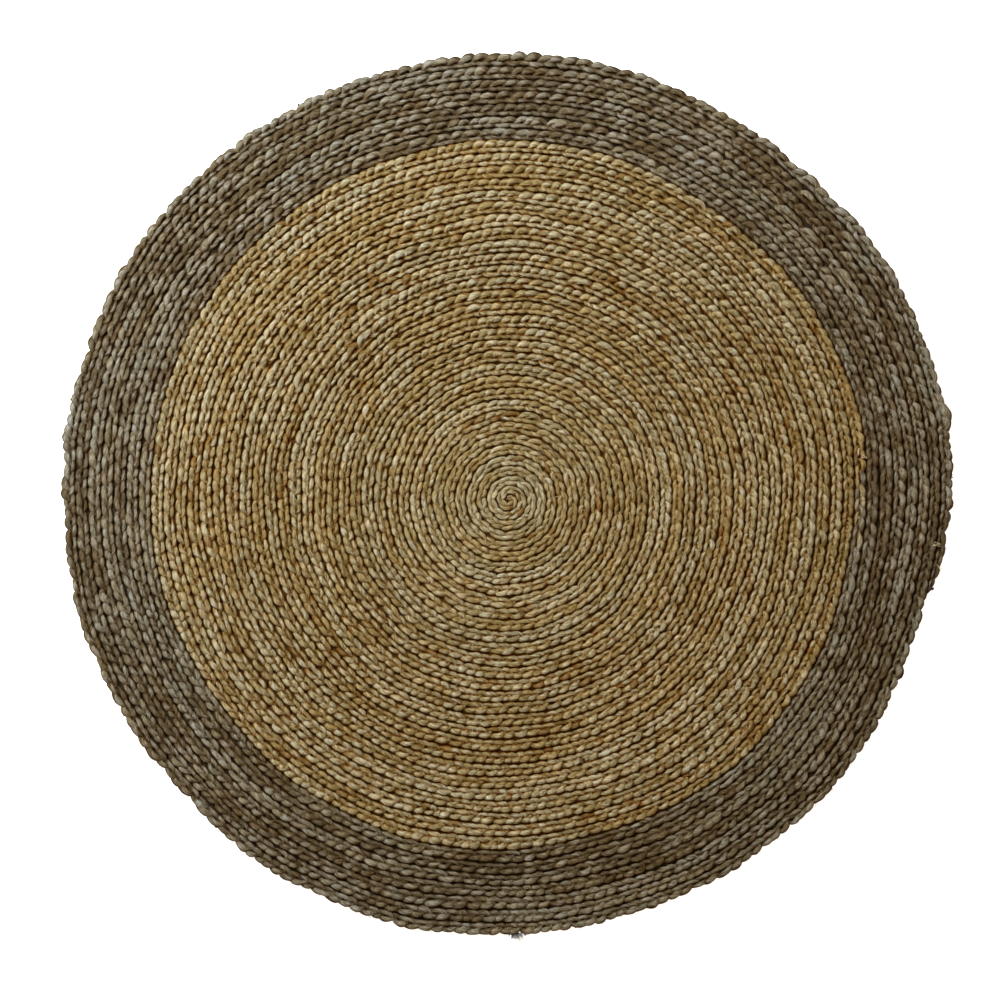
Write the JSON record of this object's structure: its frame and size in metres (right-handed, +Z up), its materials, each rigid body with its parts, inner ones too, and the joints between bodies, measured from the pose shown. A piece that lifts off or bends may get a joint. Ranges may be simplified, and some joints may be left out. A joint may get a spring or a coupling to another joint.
{
  "type": "round jute rug",
  "caption": "Flat round rug: natural and grey-dyed jute plait wound as one spiral and sewn turn to turn, with a grey border round a natural field.",
  "frame": {"origin": "middle of the rug's bounding box, on the floor", "axes": "+Z up out of the rug's face, +X towards the joint between the two lengths of plait"},
  "size_m": [1.5126, 1.4964, 0.012],
  "materials": {
    "natural_jute": "undyed three-strand jute plait, golden beige, matt and hairy",
    "grey_jute": "grey-brown dyed three-strand jute plait, matt and hairy"
  },
  "bodies": {
    "root": {"natural_coil": "natural_jute", "grey_border": "grey_jute"}
  },
  "joints": []
}
